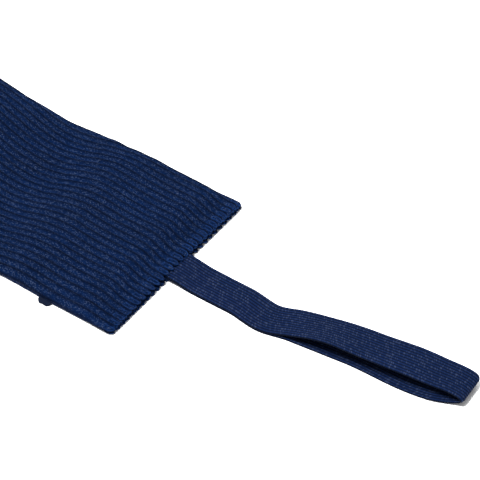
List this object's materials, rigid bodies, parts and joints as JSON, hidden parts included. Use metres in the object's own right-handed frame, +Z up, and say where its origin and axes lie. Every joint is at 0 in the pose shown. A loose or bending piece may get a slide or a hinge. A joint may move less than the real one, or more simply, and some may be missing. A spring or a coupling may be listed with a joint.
{
  "type": "knitted limb cuff",
  "caption": "Flat ribbed knit tube for a limb, overlocked at both hems, with an elastic tape loop sewn into one hem and a small blank side label.",
  "frame": {"origin": "on the resting surface, under the middle of the whole part's box", "axes": "+X along the sleeve towards the loop's fold, +Y across the sleeve away from the label, +Z up"},
  "size_m": [0.4214, 0.1142, 0.014],
  "materials": {
    "rib_knit": "coarse navy rib knit, matt, slightly heathered",
    "seam_thread": "textured navy overlock thread, soft sheen",
    "elastic_tape": "knitted navy elastic with fine lengthwise lines, slight sheen",
    "core_yarn": "bare stretch core yarn, matt grey",
    "label_tape": "woven dark navy tape, blank"
  },
  "bodies": {
    "sleeve": {"sleeve_near": "rib_knit", "near_needle_thread": "seam_thread", "near_upper_looper": "seam_thread", "near_lower_looper": "seam_thread", "loop_tail": "elastic_tape", "loop_bartack": "seam_thread", "label_root": "label_tape", "label_stitch": "seam_thread"},
    "sleeve_back": {"sleeve_far": "rib_knit", "far_needle_thread": "seam_thread", "far_upper_looper": "seam_thread", "far_lower_looper": "seam_thread"},
    "loop": {"loop_upper_ply": "elastic_tape", "loop_lower_ply": "elastic_tape", "upper_core_yarns": "core_yarn", "lower_core_yarns": "core_yarn"},
    "loop_end": {"loop_fold": "elastic_tape", "fold_core_yarns": "core_yarn"},
    "label": {"label_tab": "label_tape"}
  },
  "joints": [
    {"name": "sleeve_fold", "type": "hinge", "parent": "sleeve", "child": "sleeve_back", "pos_m": [-0.05525, 0.00155, 0.0034], "axis": [0, 1, 0], "range_deg": [0, 110]},
    {"name": "loop_swing", "type": "hinge", "parent": "sleeve", "child": "loop", "pos_m": [0.0419, 0.00155, 0.0041], "axis": [0, -1, 0], "range_deg": [0, 90]},
    {"name": "loop_stretch", "type": "slide", "parent": "loop", "child": "loop_end", "axis": [1, 0, 0], "range_m": [0, 0.08], "stiffness_N_per_m": 30, "deforming": ["loop_upper_ply", "loop_lower_ply", "upper_core_yarns", "lower_core_yarns"]},
    {"name": "label_flip", "type": "hinge", "parent": "sleeve", "child": "label", "pos_m": [-0.00025, -0.0546, 0.00075], "axis": [-1, 0, 0], "range_deg": [0, 90]}
  ]
}
